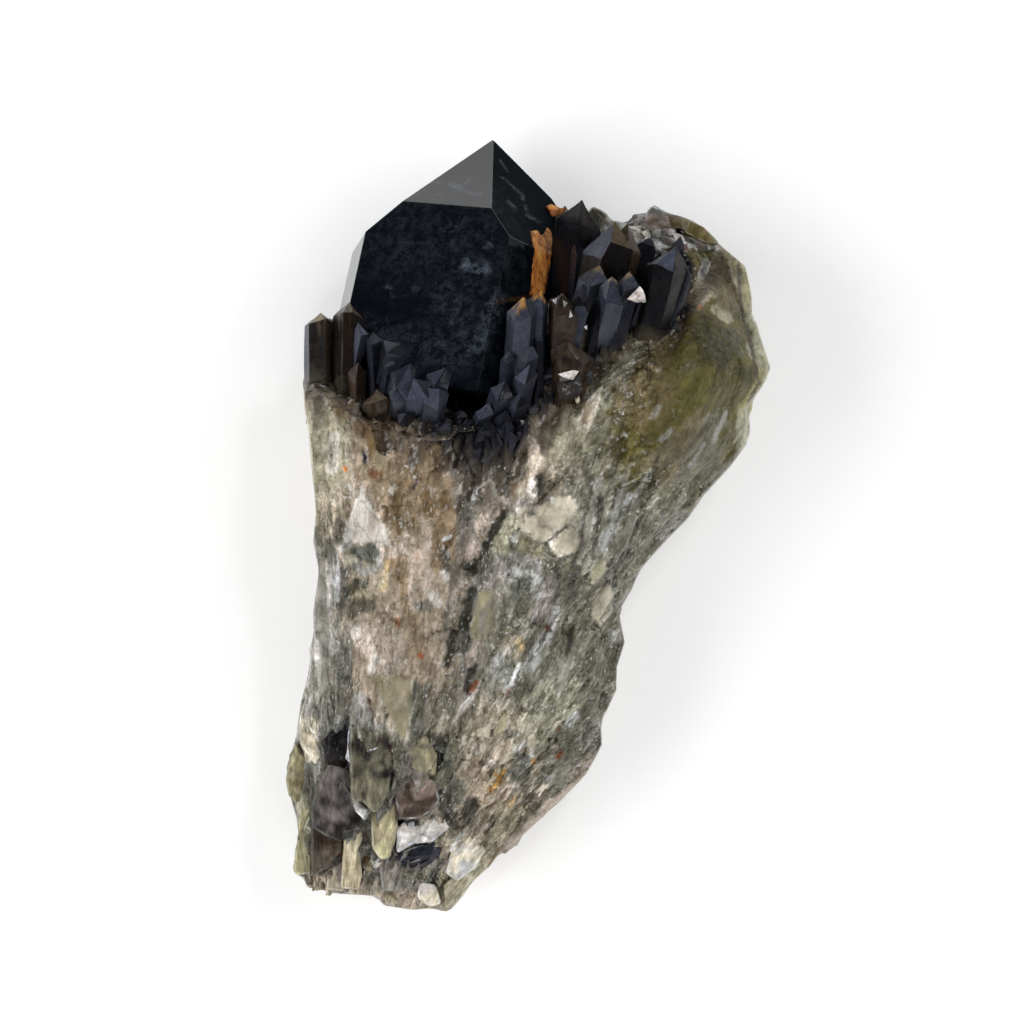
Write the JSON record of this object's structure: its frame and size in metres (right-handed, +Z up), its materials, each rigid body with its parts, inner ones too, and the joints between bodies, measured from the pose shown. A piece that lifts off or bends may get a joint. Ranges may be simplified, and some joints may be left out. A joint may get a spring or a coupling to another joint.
{
  "type": "smoky quartz crystal cluster",
  "caption": "Smoky quartz cluster lying on its back: a large near-black pointed crystal and a druse of small dark crystals on a pale, fan-shaped fibrous quartz root.",
  "frame": {"origin": "middle of the bounding box in X and Y, on the flat back face that the stone rests on", "axes": "+X to the viewer's right, +Y along the stone from its broken end to the crystal tips, +Z up out of the stone's front"},
  "size_m": [0.0752, 0.121, 0.046],
  "materials": {
    "smoky_quartz": "glassy crystals, rough translucent root"
  },
  "bodies": {
    "root": {"smoky_quartz_cluster": "smoky_quartz"}
  },
  "joints": []
}
